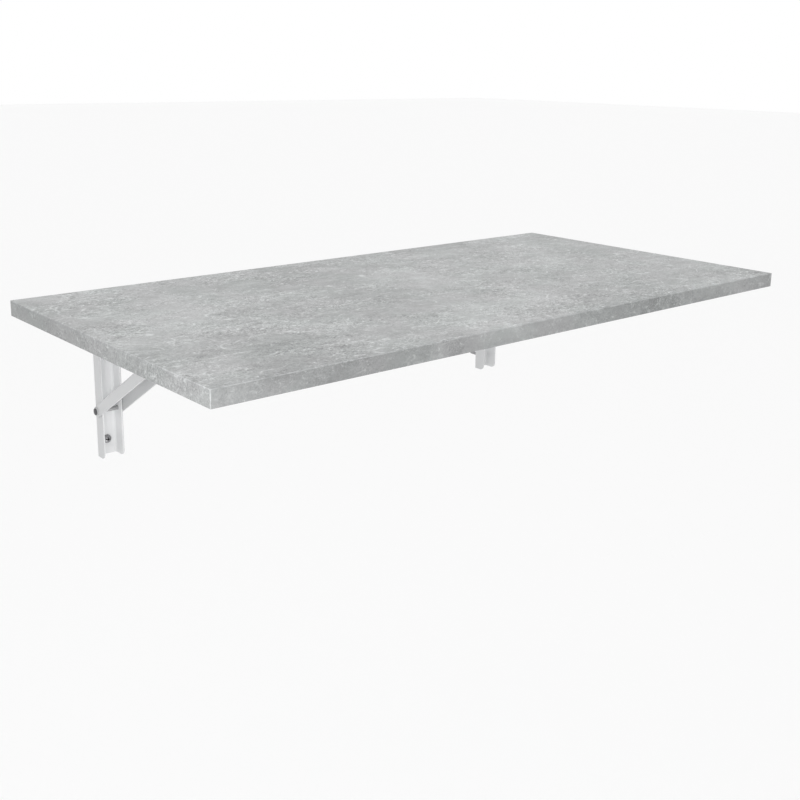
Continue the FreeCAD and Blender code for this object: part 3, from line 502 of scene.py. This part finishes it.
def spring_points(coil):
    """A lever spring's path from the rivet's middle: hook, leg, coil and the leg in the arm."""
    hook_x, start_x, anchor_x, corner = 0.0188, 0.02035, 0.0235, 0.0004
    moving_leg, fixed_leg, under_lever = 0.014, 0.011, -0.00545
    pitch, steps = 0.00068, 40
    under_y = moving_leg * math.cos(LEVER_TILT) - under_lever * math.sin(LEVER_TILT)
    under_z = moving_leg * math.sin(LEVER_TILT) + under_lever * math.cos(LEVER_TILT)
    first = math.atan2(under_z, under_y) + math.acos(coil / math.hypot(under_y, under_z))
    last = math.pi - math.acos(coil / fixed_leg) + 2 * math.pi
    advance = pitch * (last - first) / (2 * math.pi)
    end_x = start_x + advance
    points = [(hook_x, under_y, under_z), (start_x - corner, under_y, under_z),
              (start_x, under_y - corner, under_z - corner / 4)]
    for i in range(steps + 1):
        angle = first + (last - first) * i / steps
        points.append((start_x + advance * i / steps, coil * math.cos(angle),
                       coil * math.sin(angle)))
    points += [(end_x, corner - fixed_leg, 0.0), (end_x + corner, -fixed_leg, 0.0),
               (anchor_x, -fixed_leg, 0.0)]
    return points


def add_springs(material):
    """The levers' torsion springs as round wire."""
    wire, coil = 0.0003, 0.0031
    pivot_y, pivot_z = HINGE_Y - LEVER_REACH, HINGE_Z - LEVER_DROP
    points = spring_points(coil)
    for side, x in BRACKET_X.items():
        curve = bpy.data.curves.new("spring_path", "CURVE")
        curve.dimensions = "3D"
        curve.bevel_depth = wire
        curve.bevel_resolution = 3
        curve.use_fill_caps = True
        spline = curve.splines.new("POLY")
        spline.points.add(len(points) - 1)
        for point, (px, py, pz) in zip(spline.points, points):
            point.co = (x + px, pivot_y + py, pivot_z + pz, 1.0)
        curve.materials.append(material)
        path = bpy.data.objects.new("spring_path", curve)
        mesh = bpy.data.meshes.new_from_object(path)
        mesh.name = f"lever_spring_wire_{side}"
        bpy.data.objects.remove(path)
        piece = bpy.data.objects.new(mesh.name, mesh)
        bpy.context.scene.collection.objects.link(piece)
        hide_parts(f"lever_spring_{side}")
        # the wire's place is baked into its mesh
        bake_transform(piece)


def dress():
    """Gives every CAD node its material and adds the pieces that stand in for plain solids."""
    face = concrete("concrete_laminate", tone=0.385, weights=(0.85, 0.85, 1.7, 2.2),
                    pale_share=0.85, stroke_share=0.6)
    long_edge = concrete("concrete_long_edge", tone=0.278, weights=(0.9, 0.6, 0.8, 0.9),
                         pale_share=0.35, stroke_share=0.1)
    short_edge = concrete("concrete_short_edge", tone=0.262, weights=(0.6, 0.5, 1.2, 1.8),
                          pale_share=0.4, stroke_share=0.1)
    coat = powder_coat("powder_coat")
    # the plates' coat is painted paler between the flanges, as painted light
    plate_coat_painted_light = powder_coat("powder_coat_plate_painted_light", painted_light_inner=(0.78, 0.785, 0.79))
    # the pins' shanks between the flanges get a paler tone, as painted light
    rivet = steel("dark_zinc", (0.10, 0.10, 0.105), (0.17, 0.17, 0.175), rough=0.42, scale=700.0,
                  painted_light_inside=(0.36, 0.36, 0.365))
    screw = steel("zinc", (0.26, 0.26, 0.265), (0.42, 0.42, 0.43), rough=0.45, scale=900.0)
    # darker zinc for the recesses' deeper faces: painted shade
    recess = steel("zinc_recess_painted_shade", (0.05, 0.05, 0.052), (0.10, 0.10, 0.105), rough=0.6,
                   scale=900.0)
    wire = steel("spring_wire", (0.45, 0.45, 0.46), (0.62, 0.62, 0.63), rough=0.25, scale=1500.0)

    paint(face, "laminate_top", "laminate_underside")
    paint(long_edge, "edge_band_front", "edge_band_back")
    paint(short_edge, "edge_band_left", "edge_band_right")
    paint(chipboard(), "tabletop_core")
    for side in BRACKET_X:
        paint(plate_coat_painted_light, f"wall_plate_{side}")
        paint(coat, f"arm_{side}", f"strut_{side}", f"release_lever_{side}",
              f"strut_washers_{side}")
        paint(rivet, f"hinge_pin_{side}", f"hinge_spacers_{side}", f"strut_pin_{side}",
              f"slot_pin_{side}", f"slot_riders_{side}", f"lever_rivet_{side}")
    add_wall_screws((screw, recess))
    add_table_screws((screw, recess))
    add_springs(wire)


# ---- studio ----

def area_light(name, place, target, size, power):
    """A rectangular lamp that the camera doesn't see, aimed at a target."""
    data = bpy.data.lights.new(name, "AREA")
    data.shape = "RECTANGLE"
    data.size, data.size_y = size
    data.energy = power
    light = bpy.data.objects.new(name, data)
    light.location = place
    light.rotation_euler = (Vector(target) - Vector(place)).to_track_quat("-Z", "Y").to_euler()
    light.visible_camera = False
    bpy.context.scene.collection.objects.link(light)


def add_studio():
    """White surroundings, a floor that lies below the views from under the table, three lamps."""
    bpy.context.scene.view_settings.view_transform = "Standard"
    world = bpy.data.worlds.new("studio")
    bpy.context.scene.world = world
    world.use_nodes = True
    background = world.node_tree.nodes["Background"]
    background.inputs["Color"].default_value = (1.0, 1.0, 1.0, 1)
    background.inputs["Strength"].default_value = 1.0
    mesh = bpy.data.meshes.new("floor")
    half, level = 40.0, -1.3
    mesh.from_pydata([(-half, -half, level), (half, -half, level), (half, half, level),
                      (-half, half, level)], [], [(0, 1, 2, 3)])
    floor = bpy.data.objects.new("floor", mesh)
    bpy.context.scene.collection.objects.link(floor)
    n = Nodes("pale_floor", Roughness=0.9, Base_Color=(0.95, 0.95, 0.95, 1))
    mesh.materials.append(n.material)
    area_light("corner", (-0.95, -0.8, 0.13), (-0.5, -0.5, 0.12), size=(0.35, 0.35), power=2.9)
    area_light("front", (0.0, -0.95, -0.6), (0.0, 0.0, 0.0), size=(1.4, 0.5), power=1.4)
    area_light("under", (-0.2, -0.36, -0.36), (-0.2, 0.0, 0.06), size=(0.9, 0.25), power=0.6)


add_camera()
dress()
add_studio()
